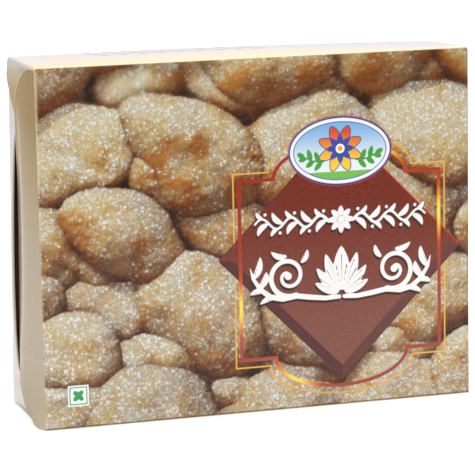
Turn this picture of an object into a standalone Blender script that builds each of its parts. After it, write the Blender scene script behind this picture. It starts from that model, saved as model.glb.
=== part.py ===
# Closed printed paperboard carton of milk sweets, standing on its long narrow side.
# The broad printed front faces -Y, +Z is up, and the origin is under the carton's middle.
# The carton is shut and can't be seen into, so it is one solid, in metres.
import math

import bmesh
import bpy

MM = 0.001

# Driving dimensions of the folded carton
LENGTH = 160 * MM
DEPTH = 43 * MM
HEIGHT = 127 * MM
BOARD = 0.5 * MM
CREASE_RADIUS = 0.9 * MM
CREASE_SHARP_OVER = 40

# End closure: a flap hinged on the front, over a dust flap hinged on the top, over a flap hinged on the back
FLAP_REACH = 32.5 * MM
SHOULDER_TOP_REACH = 30.5 * MM
SHOULDER_TOP_RISE = 17.3 * MM
SHOULDER_TOP_CENTRE = 109 * MM
SHOULDER_FOOT_REACH = 16 * MM
SHOULDER_FOOT_RISE = 14 * MM
DUST_FLAP_TAPER_TOP = 114.7 * MM
DUST_FLAP_TAPER_FOOT = 105.3 * MM
DUST_FLAP_OVERLAP = 1.5 * MM

# The dust and back flaps lie a little inside the closure flap, all but a strip beside their own creases
TOP_CREASE_STRIP = 1.2 * MM
BACK_CREASE_STRIP = 1.2 * MM
BACK_FLAP_STRIP = 3.5 * MM

# The closure flap stands out to a ridge, and past the ridge its free edge has been pushed in
RIDGE_PLACE = 0.79
RIDGE_HEIGHT = 0.42 * MM
RIDGE_SLOPE = 1.5
RIDGE_MIDDLE = 0.45
EDGE_PUSHED_IN = 0.88 * MM
PUSHED_MIDDLE = 70 * MM
PUSHED_HALF_HEIGHT = 64 * MM
PUSHED_TOP = 114 * MM
PUSHED_FADE = 30 * MM

# The left closure flap's foot is bent out
FOOT_BENT_OUT = 1.6 * MM
FOOT_BEND_RUN = 4 * MM
FOOT_BEND_END = 20 * MM
FOOT_BEND_HEIGHT = 9 * MM

# Gap left between the closure flap and the back flap, an opening with a blunt foot and a slimmer top
SLIT_FOOT = 13.5 * MM
SLIT_HEIGHT = 87 * MM
SLIT_WIDTH = 8.1 * MM
SLIT_LEAN = 0.85
SLIT_BLUNTNESS = 0.42
SLIT_DEPTH = 9 * MM
SLIT_OVERLAP = 0.6 * MM
RIGHT_GAP_SHARE = 0.6

# The filled panels swell a little between their creases, and the back's upper crease is bowed up with them
BROAD_SWELL = 0.7 * MM
TOP_SWELL = 0.4 * MM
TOP_SWELL_POWER = 4
BACK_TOP_BOW = 0.7 * MM

# The carton stands slightly out of true: how far each corner is off a perfect box, as X, Y, Z shifts
# keyed by the corner's side along X, Y and Z
CORNER_SHIFTS = {
    (-1, -1, 1): (-0.45 * MM, 0.0, 0.5 * MM),
    (1, -1, 1): (-0.65 * MM, 0.6 * MM, 1.2 * MM),
    (-1, -1, 0): (0.8 * MM, -0.6 * MM, 0.0),
    (1, -1, 0): (0.65 * MM, 0.0, 0.0),
    (-1, 1, 1): (-0.15 * MM, 0.0, -0.15 * MM),
    (1, 1, 1): (1.1 * MM, -0.5 * MM, -0.95 * MM),
    (-1, 1, 0): (-1.55 * MM, 0.6 * MM, 0.0),
}

# How finely the solid follows its curves
PANEL_DIVISIONS = {"x": 12, "y": 5, "z": 10}
CREASE_SEGMENTS = 3
SHOULDER_STEPS = 12
TAPER_STEPS = 5
SLIT_STEPS = 16
MARGIN = 3 * MM
SHADING_SHARP_OVER = 30

BOARD_COLOUR = (0.52, 0.38, 0.22, 1.0)
BOARD_ROUGHNESS = 0.55


def clear_scene():
    for existing in list(bpy.data.objects):
        bpy.data.objects.remove(existing, do_unlink=True)


def make_material(name, colour, roughness):
    material = bpy.data.materials.new(name)
    material.use_nodes = True
    shader = material.node_tree.nodes["Principled BSDF"]
    shader.inputs["Base Color"].default_value = colour
    shader.inputs["Roughness"].default_value = roughness
    shader.inputs["Metallic"].default_value = 0.0
    return material


def link_object(name, mesh):
    placed = bpy.data.objects.new(name, mesh)
    bpy.context.scene.collection.objects.link(placed)
    return placed


# The block of the four long panels, cut into a grid so that it can swell, with rounded creases
def make_block():
    bm = bmesh.new()
    bmesh.ops.create_cube(bm, size=1.0)
    for corner in bm.verts:
        corner.co.x *= LENGTH
        corner.co.y *= DEPTH
        corner.co.z = (corner.co.z + 0.5) * HEIGHT
    cuts = (
        ((1, 0, 0), -LENGTH / 2, LENGTH, PANEL_DIVISIONS["x"]),
        ((0, 1, 0), -DEPTH / 2, DEPTH, PANEL_DIVISIONS["y"]),
        ((0, 0, 1), 0.0, HEIGHT, PANEL_DIVISIONS["z"]),
    )
    for normal, low, span, divisions in cuts:
        for step in range(1, divisions):
            place = low + span * step / divisions
            point = [place * part for part in normal]
            everything = bm.verts[:] + bm.edges[:] + bm.faces[:]
            bmesh.ops.bisect_plane(bm, geom=everything, plane_co=point, plane_no=normal)
    mesh = bpy.data.meshes.new("carton")
    bm.to_mesh(mesh)
    bm.free()
    block = link_object("carton", mesh)
    creases = block.modifiers.new("creases", "BEVEL")
    creases.width = CREASE_RADIUS
    creases.segments = CREASE_SEGMENTS
    creases.limit_method = "ANGLE"
    creases.angle_limit = math.radians(CREASE_SHARP_OVER)
    return block


# A quarter of an ellipse, from its start angle to its end angle in degrees
def quarter(centre, reach, rise, start, end):
    points = []
    for step in range(SHOULDER_STEPS + 1):
        angle = math.radians(start + (end - start) * step / SHOULDER_STEPS)
        points.append((centre[0] + reach * math.cos(angle), centre[1] + rise * math.sin(angle)))
    return points


# The free edge of the closure flap's round foot, from its full reach down to below the floor.
# Outlines on the end are pairs of the depth behind the front and the height.
def closure_foot():
    centre = (FLAP_REACH - SHOULDER_FOOT_REACH, SHOULDER_FOOT_RISE)
    return quarter(centre, SHOULDER_FOOT_REACH, SHOULDER_FOOT_RISE, 0, -90) + [(centre[0], -MARGIN)]


# What lies behind the closure flap, between the strip under the top crease and the one beside the back crease
def outside_closure():
    behind, above = DEPTH - BACK_CREASE_STRIP, HEIGHT - TOP_CREASE_STRIP
    centre = (FLAP_REACH - SHOULDER_TOP_REACH, SHOULDER_TOP_CENTRE)
    level = math.degrees(math.asin((above - centre[1]) / SHOULDER_TOP_RISE))
    shoulder = quarter(centre, SHOULDER_TOP_REACH, SHOULDER_TOP_RISE, level, 0)
    return shoulder + closure_foot() + [(behind, -MARGIN), (behind, above)]


# What lies behind and below the top dust flap: its back edge slants in as it comes down
def outside_dust_flap():
    behind = DEPTH - BACK_FLAP_STRIP
    foot = (FLAP_REACH - DUST_FLAP_OVERLAP, DUST_FLAP_TAPER_FOOT)
    slope = []
    for step in range(TAPER_STEPS + 1):
        place = behind + (foot[0] - behind) * step / TAPER_STEPS
        rise = (place - foot[0]) / (DEPTH - foot[0])
        slope.append((place, foot[1] + (DUST_FLAP_TAPER_TOP - foot[1]) * rise))
    below = (FLAP_REACH, DUST_FLAP_TAPER_FOOT - DUST_FLAP_OVERLAP)
    return slope + [below] + closure_foot() + [(behind, -MARGIN)]


def slit_outline(share):
    front = FLAP_REACH - SLIT_OVERLAP
    outline = []
    for step in range(SLIT_STEPS + 1):
        along = (1 - math.cos(math.pi * step / SLIT_STEPS)) / 2
        width = SLIT_WIDTH * share * math.sin(math.pi * along ** SLIT_LEAN) ** SLIT_BLUNTNESS
        outline.append((FLAP_REACH + width, SLIT_FOOT + SLIT_HEIGHT * along))
    outline.append((front, SLIT_FOOT + SLIT_HEIGHT))
    outline.append((front, SLIT_FOOT))
    return outline


# A cutter with the outline drawn on an end, reaching from outside the end to a depth inside it
def make_cutter(name, outline, side, depth):
    outer = side * (LENGTH / 2 + MARGIN)
    inner = side * (LENGTH / 2 - depth)
    bm = bmesh.new()
    rim = [bm.verts.new((outer, behind - DEPTH / 2, height)) for behind, height in outline]
    face = bm.faces.new(rim)
    swept = bmesh.ops.extrude_face_region(bm, geom=[face])
    moved = [piece for piece in swept["geom"] if isinstance(piece, bmesh.types.BMVert)]
    bmesh.ops.translate(bm, verts=moved, vec=(inner - outer, 0, 0))
    bmesh.ops.recalc_face_normals(bm, faces=bm.faces[:])
    mesh = bpy.data.meshes.new(name)
    bm.to_mesh(mesh)
    bm.free()
    cutter = link_object(name, mesh)
    cutter.hide_render = True
    cutter.display_type = "WIRE"
    return cutter


def cut_ends(block):
    cutters = []
    for side, label, gap_share in ((-1, "left", 1.0), (1, "right", RIGHT_GAP_SHARE)):
        cutters.append(make_cutter(f"{label}_flap_step", outside_closure(), side, BOARD))
        cutters.append(make_cutter(f"{label}_dust_step", outside_dust_flap(), side, 2 * BOARD))
        cutters.append(make_cutter(f"{label}_slit", slit_outline(gap_share), side, SLIT_DEPTH))
    for cutter in cutters:
        cut = block.modifiers.new(cutter.name, "BOOLEAN")
        cut.operation = "DIFFERENCE"
        cut.solver = "EXACT"
        cut.object = cutter
    return cutters


# Fixes the cut shape, so that the settling below can act on the finished surface
def apply_modifiers(block):
    graph = bpy.context.evaluated_depsgraph_get()
    finished = bpy.data.meshes.new_from_object(block.evaluated_get(graph))
    block.modifiers.clear()
    block.data = finished


def swell(share):
    return max(0.0, 1.0 - share * share)


# Shift of a point from the corners' shifts, shared out by how near the point is to each corner
def corner_shift(along, across, up):
    total = [0.0, 0.0, 0.0]
    for (x_side, y_side, z_side), shift in CORNER_SHIFTS.items():
        weight = (1 + x_side * along) / 2 * (1 + y_side * across) / 2
        weight *= up if z_side else 1 - up
        total = [done + weight * part for done, part in zip(total, shift)]
    return total


# How far the closure flap stands out of the end at a depth behind the front and a height
def closure_stand(behind, height):
    reach = min(1.0, behind / FLAP_REACH)
    up = height / HEIGHT
    stand = RIDGE_HEIGHT * min(1.0, reach / RIDGE_PLACE) ** RIDGE_SLOPE * swell(2 * (up - RIDGE_MIDDLE))
    past = max(0.0, (reach - RIDGE_PLACE) / (1 - RIDGE_PLACE))
    fade = min(1.0, max(0.0, (PUSHED_TOP - height) / PUSHED_FADE))
    pushed = EDGE_PUSHED_IN * swell((height - PUSHED_MIDDLE) / PUSHED_HALF_HEIGHT) * fade
    return stand - pushed * past


def foot_bend(behind, height):
    rising = min(1.0, behind / FOOT_BEND_RUN)
    falling = min(1.0, max(0.0, (FOOT_BEND_END - behind) / (FOOT_BEND_END - 2 * FOOT_BEND_RUN)))
    return FOOT_BENT_OUT * rising * falling * max(0.0, 1 - height / FOOT_BEND_HEIGHT)


def settle(mesh):
    closure_face = LENGTH / 2 - BOARD / 2
    for vertex in mesh.vertices:
        x, y, z = vertex.co
        along, across, up = 2 * x / LENGTH, 2 * y / DEPTH, z / HEIGHT
        shift = corner_shift(along, across, up)
        shift[1] += across * BROAD_SWELL * swell(along) * swell(2 * up - 1)
        top_rise = TOP_SWELL * swell(across) + BACK_TOP_BOW * (1 + across) / 2
        shift[2] += up ** TOP_SWELL_POWER * swell(along) * top_rise
        behind = y + DEPTH / 2
        if abs(x) > closure_face and behind < FLAP_REACH + BOARD:
            shift[0] += math.copysign(closure_stand(behind, z), x)
            if x < 0:
                shift[0] -= foot_bend(max(0.0, behind), z)
        vertex.co.x += shift[0]
        vertex.co.y += shift[1]
        vertex.co.z += shift[2]


clear_scene()
carton = make_block()
for used in cut_ends(carton):
    used.parent = carton
apply_modifiers(carton)
settle(carton.data)
for cutter in list(carton.children):
    bpy.data.objects.remove(cutter, do_unlink=True)
carton.data.materials.clear()
carton.data.materials.append(make_material("paperboard", BOARD_COLOUR, BOARD_ROUGHNESS))
carton.data.shade_smooth()
carton.data.set_sharp_from_angle(angle=math.radians(SHADING_SHARP_OVER))
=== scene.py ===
# Looks of a shut paperboard carton of sugared milk sweets, standing on its long narrow side.
# Lengths are in millimetres, as on a folding drawing, and become metres as they enter a mesh.
import functools
import math

import bpy
import numpy as np
from mathutils import Matrix, Vector


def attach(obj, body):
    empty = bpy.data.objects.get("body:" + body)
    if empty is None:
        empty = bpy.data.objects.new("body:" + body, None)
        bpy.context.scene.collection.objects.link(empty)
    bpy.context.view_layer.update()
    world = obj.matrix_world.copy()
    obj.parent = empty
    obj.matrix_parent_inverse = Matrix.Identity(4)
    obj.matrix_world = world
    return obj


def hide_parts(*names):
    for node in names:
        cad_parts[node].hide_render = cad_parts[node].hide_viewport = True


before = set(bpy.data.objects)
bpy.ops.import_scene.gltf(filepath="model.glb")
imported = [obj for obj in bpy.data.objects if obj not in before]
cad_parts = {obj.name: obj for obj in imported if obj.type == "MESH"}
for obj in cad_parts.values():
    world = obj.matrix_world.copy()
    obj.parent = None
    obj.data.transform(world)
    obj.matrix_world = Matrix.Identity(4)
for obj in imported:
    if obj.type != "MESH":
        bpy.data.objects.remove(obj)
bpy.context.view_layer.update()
MM = 0.001

# Studio: a white table under two wide soft lights, with a third one in front, in a dim white room.
# The camera stands left of the carton and a little above it, with a long lens, as the photograph's did.
IMAGE_SIDE = 475
SENSOR_WIDTH = 36.0
FOCAL_LENGTH_IN_PIXELS = 2379.9
CAMERA_PLACE = (-252.76, -809.54, 220.10)
CAMERA_TURN = 17.230
CAMERA_DOWN = 10.704
CAMERA_TILT = 0.587
CAMERA_CLIP_END = 20.0
ROOM_LIGHT = 0.10
TABLE_WHITE = (0.96, 0.96, 0.96, 1.0)
TABLE_GLOW = 0.18
TABLE_ROUGHNESS = 0.75
TABLE_EDGES = (-3.0, 3.5, -0.36, 4.5)
VARNISH_ROUGHNESS = 0.22


def tree_of(*values):
    """The node tree of the first socket among the values."""
    return next(value.id_data for value in values if isinstance(value, bpy.types.NodeSocket))


def colour(red, green, blue):
    """A shader colour from the eight-bit values of a swatch."""
    shares = [channel / 255 for channel in (red, green, blue)]
    return (*(s / 12.92 if s <= 0.04045 else ((s + 0.055) / 1.055) ** 2.4 for s in shares), 1.0)


def feed(socket, value):
    """Joins or sets an input; a colour is given as the eight-bit values of its swatch."""
    if isinstance(value, bpy.types.NodeSocket):
        socket.id_data.links.new(value, socket)
    else:
        socket.default_value = colour(*value) if socket.type == "RGBA" else value


def add_node(tree, kind, given, **settings):
    """Adds a node with the given inputs, by name or by number, and returns its outputs."""
    node = tree.nodes.new("ShaderNode" + kind)
    for setting, value in settings.items():
        setattr(node, setting, value)
    for label, value in given.items():
        feed(node.inputs[label], value)
    return node.outputs


def new_material(name, roughness, coat=0.0, shine=0.30):
    material = bpy.data.materials.new(name)
    material.use_nodes = True
    shader = material.node_tree.nodes["Principled BSDF"]
    shader.inputs["Roughness"].default_value = roughness
    shader.inputs["Specular IOR Level"].default_value = shine
    shader.inputs["Coat Weight"].default_value = coat
    shader.inputs["Coat Roughness"].default_value = VARNISH_ROUGHNESS
    return material, material.node_tree, shader.inputs


def placed(name, data):
    """A new object in the scene."""
    thing = bpy.data.objects.new(name, data)
    bpy.context.scene.collection.objects.link(thing)
    return thing


def place_camera():
    lens = bpy.data.cameras.new("camera")
    lens.sensor_width = SENSOR_WIDTH
    lens.lens = FOCAL_LENGTH_IN_PIXELS * SENSOR_WIDTH / IMAGE_SIDE
    lens.clip_end = CAMERA_CLIP_END
    stand = Matrix.Translation(Vector(CAMERA_PLACE) * MM)
    for angle, axis in ((-CAMERA_TURN, "Z"), (90 - CAMERA_DOWN, "X"), (-CAMERA_TILT, "Z")):
        stand = stand @ Matrix.Rotation(math.radians(angle), 4, axis)
    camera = placed("camera", lens)
    camera.matrix_world = stand
    bpy.context.scene.camera = camera


def soft_light(name, place, aim, size, power):
    lamp = bpy.data.lights.new(name, "AREA")
    lamp.shape = "RECTANGLE"
    lamp.size, lamp.size_y = size
    lamp.energy = power
    light = placed(name, lamp)
    light.location = place
    light.rotation_euler = (Vector(aim) - Vector(place)).to_track_quat("-Z", "Y").to_euler()


def fill_room(strength):
    """A white room: brighter where the camera looks straight at it than as a source of light."""
    world = bpy.data.worlds.new("room")
    world.use_nodes = True
    tree = world.node_tree
    seen = add_node(tree, "LightPath", {})["Is Camera Ray"]
    level = add_node(tree, "MapRange", {"Value": seen, "To Min": strength, "To Max": 1.0})
    feed(tree.nodes["Background"].inputs["Color"], (255, 255, 255))
    feed(tree.nodes["Background"].inputs["Strength"], level["Result"])
    bpy.context.scene.world = world


def lay_table():
    left, right, front, back = TABLE_EDGES
    mesh = bpy.data.meshes.new("table")
    corners = [(left, front, 0), (right, front, 0), (right, back, 0), (left, back, 0)]
    mesh.from_pydata(corners, [], [(0, 1, 2, 3)])
    white, _, inputs = new_material("white_table", TABLE_ROUGHNESS, shine=0.5)
    inputs["Base Color"].default_value = inputs["Emission Color"].default_value = TABLE_WHITE
    inputs["Emission Strength"].default_value = TABLE_GLOW
    mesh.materials.append(white)
    placed("table", mesh)


place_camera()
soft_light("overhead", place=(0.10, -0.30, 1.50), aim=(0.05, -0.10, 0), size=(1.7, 1.4), power=29.0)
soft_light("over_far_table", place=(0.40, 1.60, 1.70), aim=(0.40, 1.60, 0), size=(2.6, 1.6), power=48.0)
soft_light("front", place=(0.10, -1.60, 0.60), aim=(0, 0, 0.06), size=(1.2, 0.7), power=7.5)
fill_room(ROOM_LIGHT)
lay_table()
bpy.context.scene.view_settings.view_transform = "Standard"

# The sleeve: one strip of grey-backed boxboard, creased four times and glued into a flat tube open
# at both ends. Only its inside shows, through the gaps beside the end flaps. A plain core stands for
# the sweets inside, which can't be seen, and stops the view through the carton.
LENGTH = 160.0
DEPTH = 43.0
HEIGHT = 127.0
BOARD = 0.5
CREASE_RADIUS = 0.9
BROAD_SWELL = 0.69
TOP_SWELL = 0.38
BACK_TOP_BOW = 0.68
CORNER_SHIFTS = {
    (-1, -1, 1): (-0.45, 0.0, 0.5),
    (1, -1, 1): (-0.65, 0.6, 1.2),
    (-1, -1, 0): (0.8, -0.6, 0.0),
    (1, -1, 0): (0.65, 0.0, 0.0),
    (-1, 1, 1): (-0.15, 0.0, -0.15),
    (1, 1, 1): (1.1, -0.5, -0.95),
    (-1, 1, 0): (-1.55, 0.6, 0.0),
}
PRINT_SKIN = 0.12
SLEEVE_CLEARANCE = 0.03
SLEEVE_SHORTENING = 1.3
CORE_CLEARANCE = 0.3
CORE_SHORTENING = 14.0
STATIONS = 17
SHARP_OVER_DEGREES = 40
GREY_BOARD = (76, 63, 48)
GREY_BOARD_FLECK = (52, 41, 30)


def swell(share):
    return np.clip(1 - share * share, 0, None)


def settled(points):
    """Points of a true box, moved to where the filled and standing carton has them."""
    x, y, z = points.T
    along, across, up = 2 * x / LENGTH, 2 * y / DEPTH, z / HEIGHT
    moved = points.copy()
    for (x_side, y_side, z_side), shift in CORNER_SHIFTS.items():
        share = (1 + x_side * along) / 2 * (1 + y_side * across) / 2 * (up if z_side else 1 - up)
        moved += share[:, None] * np.array(shift)
    moved[:, 1] += across * BROAD_SWELL * swell(along) * swell(2 * up - 1)
    risen = TOP_SWELL * swell(across) + BACK_TOP_BOW * (1 + across) / 2
    moved[:, 2] += np.abs(up) ** 4 * swell(along) * risen
    return moved


def new_piece(name, points, faces, materials, face_slots=None):
    """An object with its place in its mesh, from points in millimetres."""
    mesh = bpy.data.meshes.new(name)
    mesh.from_pydata((points * MM).tolist(), [], faces)
    for material in materials:
        mesh.materials.append(material)
    if face_slots is not None:
        mesh.polygons.foreach_set("material_index", face_slots)
    mesh.shade_smooth()
    mesh.set_sharp_from_angle(angle=math.radians(SHARP_OVER_DEGREES))
    return placed(name, mesh)


def fit_to_carton(piece):
    """The piece rides on the carton's one body and stands, with the others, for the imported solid."""
    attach(piece, "root")
    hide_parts("carton")


def quads(rows, columns, first=0, round_tube=False, inward=False):
    """Faces between the rows of a grid of points. A tube's last column is joined to its first one."""
    faces = []
    for row in range(first, first + (rows - 1) * columns, columns):
        for column in range(columns if round_tube else columns - 1):
            a, b = row + column, row + (column + 1) % columns
            faces.append((a, a + columns, b + columns, b) if inward else (a, b, b + columns, a + columns))
    return faces


def rim(loop, under):
    """Faces between a loop of points and the same loop of a second grid, which is numbered on from it."""
    return [(b, a, under + a, under + b) for a, b in zip(loop, loop[1:] + loop[:1])]


def calc(operation, *values):
    return add_node(tree_of(*values), "Math", dict(enumerate(values)), operation=operation)[0]


OPERATIONS = ("ADD", "SUBTRACT", "MULTIPLY", "DIVIDE", "MAXIMUM", "MULTIPLY_ADD")
plus, minus, times, over, larger, times_plus = (functools.partial(calc, name) for name in OPERATIONS)


def graded(value, low, high, start=0.0, end=1.0):
    """Runs smoothly from start to end as the value goes from low to high."""
    given = dict(enumerate((value, low, high, start, end)))
    return add_node(tree_of(value), "MapRange", given, interpolation_type="SMOOTHSTEP")["Result"]


def mixed(share, below, above, mode="MIX"):
    given = {0: share, 6: below, 7: above}
    return add_node(tree_of(*given.values()), "Mix", given, data_type="RGBA", blend_type=mode)[2]


def place_in_millimetres(tree):
    given = {0: add_node(tree, "TexCoord", {})["Object"], "Scale": 1 / MM}
    return add_node(tree, "VectorMath", given, operation="SCALE")["Vector"]


def noise(place, size, detail=2.0, roughness=0.5, output="Fac"):
    """Noise between 0 and 1 with lumps of about the given size in millimetres."""
    scale = over(1.0, size) if isinstance(size, bpy.types.NodeSocket) else 1 / size
    given = {"Vector": place, "Scale": scale, "Detail": detail, "Roughness": roughness}
    return add_node(tree_of(place), "TexNoise", given)[output]


def new_group(name, inputs, outputs):
    """An empty node group as its tree, inputs and outputs. Sockets are given by name and kind."""
    tree = bpy.data.node_groups.new(name, "ShaderNodeTree")
    for sockets, side in ((inputs, "INPUT"), (outputs, "OUTPUT")):
        for label, kind in sockets.items():
            tree.interface.new_socket(label, in_out=side, socket_type="NodeSocket" + kind)
    return tree, tree.nodes.new("NodeGroupInput").outputs, tree.nodes.new("NodeGroupOutput").inputs


def grouped(tree, group, **values):
    """Places a group in a material; underscores in the names of its inputs stand for spaces."""
    given = {label.replace("_", " "): value for label, value in values.items()}
    return add_node(tree, "Group", given, node_tree=group)


def make_board_grain():
    """Calendered board: fine fibres, and a long slow waviness that shows where the light glances."""
    tree, given, result = new_group(
        "board_grain",
        {"Fibre size": "Float", "Wave size": "Float", "Wave share": "Float"},
        {"Height": "Float", "Fibre": "Float"},
    )
    place = place_in_millimetres(tree)
    fibre = noise(place, given["Fibre size"], 3.0, 0.6)
    waves = times(noise(place, given["Wave size"], 1.0), given["Wave share"])
    feed(result["Height"], plus(times(fibre, 0.12), waves))
    feed(result["Fibre"], fibre)
    return tree


board_grain = make_board_grain()


def grained(tree, inputs, depth, fibre_size, wave_size, wave_share=1.0):
    """Bumps the surface with the board's grain, to a depth in millimetres. Returns the fibres' noise."""
    grain = grouped(tree, board_grain, Fibre_size=fibre_size, Wave_size=wave_size, Wave_share=wave_share)
    bump = add_node(tree, "Bump", {"Distance": depth * MM, "Height": grain["Height"]})
    feed(inputs["Normal"], bump["Normal"])
    return grain["Fibre"]


def make_grey_board():
    material, tree, inputs = new_material("grey_board", roughness=0.85)
    fibre = grained(tree, inputs, depth=0.08, fibre_size=0.5, wave_size=12.0, wave_share=0.5)
    feed(inputs["Base Color"], mixed(graded(fibre, 0.48, 0.62), GREY_BOARD, GREY_BOARD_FLECK))
    return material


def sleeve_ring(inset):
    """The sleeve's section as pairs of Y and Z, with round corners and points along its sides."""
    radius = CREASE_RADIUS - min(inset, CREASE_RADIUS - 0.2)
    reach = np.array((DEPTH / 2, HEIGHT / 2)) - inset - radius

    def corner(sides, degrees):
        turn = math.radians(degrees)
        return sides * reach + radius * np.array((math.cos(turn), math.sin(turn)))

    corners = ((1, -1, -90), (1, 1, 0), (-1, 1, 90), (-1, -1, 180))
    ring = []
    for (*sides, start), (*next_sides, next_start) in zip(corners, corners[1:] + corners[:1]):
        ring += [corner(sides, degrees) for degrees in np.linspace(start, start + 90, 5)]
        here, onward = ring[-1], corner(next_sides, next_start)
        ring += [here + (onward - here) * step / 12 for step in range(1, 12)]
    return np.array(ring) + (0, HEIGHT / 2)


def tube(inset, shortening):
    """Points of the sleeve's section at each station along the carton."""
    ring = sleeve_ring(inset)
    stations = np.linspace(-1, 1, STATIONS) * (LENGTH / 2 - shortening)
    return np.concatenate([np.column_stack((np.full(len(ring), x), ring)) for x in stations])


def make_sleeve():
    outer, inner = (tube(inset, SLEEVE_SHORTENING) for inset in (PRINT_SKIN + SLEEVE_CLEARANCE, BOARD))
    under, count = len(outer), len(outer) // STATIONS
    faces = quads(STATIONS, count, round_tube=True)
    faces += quads(STATIONS, count, under, round_tube=True, inward=True)
    for end in (range(count), range(under - 1, under - count - 1, -1)):
        faces += rim(list(end), under)
    return new_piece("board_sleeve", settled(np.concatenate((outer, inner))), faces, [grey_board])


def make_core():
    points = tube(BOARD + CORE_CLEARANCE, CORE_SHORTENING)
    count = len(points) // STATIONS
    caps = [tuple(range(count - 1, -1, -1)), tuple(range(len(points) - count, len(points)))]
    faces = caps + quads(STATIONS, count, round_tube=True)
    return new_piece("core", settled(points), faces, [grey_board])


grey_board = make_grey_board()
fit_to_carton(make_sleeve())
fit_to_carton(make_core())

# The printed front and back: the white coated faces of the two broad panels, printed edge to edge
# in offset colours and satin varnished. They run half way round the creases that bound them.
FOLD_STEPS = 3
FRONT_CELLS = (340, 266)
WALL_STRIDE = (20, 19)
SWEETS_IN_FRONT_SEED = 14
SWEETS_BEHIND_SEED = 12

# Heap of sweets: a lower layer fills the gaps of an upper one, and each sweet is a lumpy round
HEAP_PITCH = 0.4
HEAP_MARGIN = 20.0
LOWER_LAYER = {"spread": (34, 25), "lift": -9.0, "left_out": 0.0, "half_length": (19, 25)}
UPPER_LAYER = {"spread": (46, 33), "lift": 0.0, "left_out": 0.12, "half_length": (22, 30)}
OUTLINE_WAVES = ((2, 0.05), (3, 0.06), (4, 0.03), (6, 0.012))
LUMPS_AND_CRUMBS = ((14.0, 3.0), (6.0, 0.8), (2.6, 0.20), (1.3, 0.12))
CREASE_DEPTH = 2.4
CREASE_HALF_WIDTH = 0.16
SUN = np.array((-0.38, 0.68, 0.62))
SHADOW_REACHES = (1, 2, 3, 4.5, 6, 8, 10, 13)
AMBIENT_LIGHT = 0.27
FRONT_LIGHT = 0.10
SUNLIGHT = 0.51
SHADOW_STRENGTH = 0.72
HEAP_FLOOR = -30.0
FOCUS_GONE_AT = 154.0
FOCUS_FADE = 26.0
FOCUS_DEPTH = 24.0
LEAST_FOCUS = 0.2
WINDOW_ON_HEAP = (14.0, 14.0)

# Plaque: a square stood on its corner, with a bevel along its two lower sides
PLAQUE_CENTRE = (30.2, 55.8)
PLAQUE_REACH = 46.2
PLAQUE_BEVEL = 3.6

# Ruled frame: a rectangle that swells into a half ellipse at its foot and at its top, drawn by two lines
RULES = {
    "thick_rule": {"centre": (30.1, 51.45), "half": (37.9, 32.15), "arch": (25.0, 11.9)},
    "thin_rule": {"centre": (30.1, 51.4), "half": (40.05, 34.8), "arch": (27.1, 11.9)},
}
THICK_RULE = 1.3
THIN_RULE = 0.55
GLINTS = ((-7.8, 38.0), (12.0, 10.5), (67.9, 68.0), (46.0, 93.0))
GLINT_SPREAD = 7.0

BADGE_CENTRE = (30.3, 92.3)
BADGE_HALF = (19.4, 12.2)
BADGE_FLOWER_RAISED = 0.8
BADGE_RIM = 1.9
BADGE_TURF = -7.3
TILE_CENTRE = (-68.0, 11.75)
TILE_HALF = 3.75
FAR = 1000.0

# Ornaments on the plaque, drawn about its middle line: a vine above, and below it a lotus between scrolls
ORNAMENT_HEIGHT = 54.0
ORNAMENT_HALF = (38.0, 22.0)
SHADOW_SHIFT = (0.4, 0.9)
VINE_HEIGHT = 67.8
VINE_RUN = (4.6, 32.4)
VINE_WAVE = 1.9
VINE_START = 5.0
VINE_STEP = 5.5


def fold_lines(half, cells):
    """Lines across a panel: where each is held on the flat, and how far it has turned into a fold."""
    turns = np.radians(np.linspace(-45, 0, FOLD_STEPS + 1))[:-1]
    reach = half - CREASE_RADIUS
    held = np.pad(np.linspace(-reach, reach, cells + 1), FOLD_STEPS, mode="edge")
    return held, np.concatenate((turns, np.zeros(cells + 1), -turns[::-1]))


def border(rows, columns):
    """The points round the edge of a grid, in the order in which its faces turn."""
    grid = np.arange(rows * columns).reshape(rows, columns)
    return np.concatenate((grid[0], grid[1:, -1], grid[-1, -2::-1], grid[-2:0:-1, 0])).tolist()


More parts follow.
